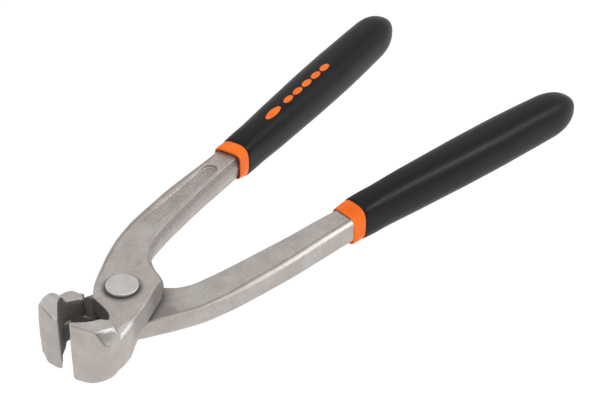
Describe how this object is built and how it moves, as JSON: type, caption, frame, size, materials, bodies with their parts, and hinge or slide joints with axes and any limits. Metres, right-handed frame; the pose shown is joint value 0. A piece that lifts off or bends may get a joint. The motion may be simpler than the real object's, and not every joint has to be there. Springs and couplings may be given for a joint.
{
  "type": "end cutting nippers",
  "caption": "Tower pincer end cutting nippers: hooked jaws meet in one edge across the end, lap joint on a flat rivet, curved reins, black dipped grips with orange collars.",
  "frame": {"origin": "centre of the rivet's flat upper face, on the pivot axis", "axes": "+Z along the rivet, out of its upper face; +Y along the tool towards the grips; the jaws point to -Y; the upper lever's jaw is on +X"},
  "size_m": [0.1128, 0.2505, 0.0254],
  "materials": {
    "steel": "satin ground forging, rougher in the recess and bevels",
    "rivet_steel": "smooth satin",
    "black_vinyl": "dipped vinyl, soft sheen",
    "orange_vinyl": "dipped vinyl, glossy"
  },
  "bodies": {
    "lower_half": {"lower_lever": "steel", "rivet": "rivet_steel", "lower_grip": "black_vinyl", "lower_collar": "orange_vinyl"},
    "upper_half": {"upper_lever": "steel", "upper_grip": "black_vinyl", "upper_collar": "orange_vinyl"}
  },
  "joints": [
    {"name": "jaw_pivot", "type": "hinge", "parent": "lower_half", "child": "upper_half", "pos_m": [0, 0, -0.01014], "axis": [0, 0, 1], "range_deg": [-11.9, 18]}
  ]
}
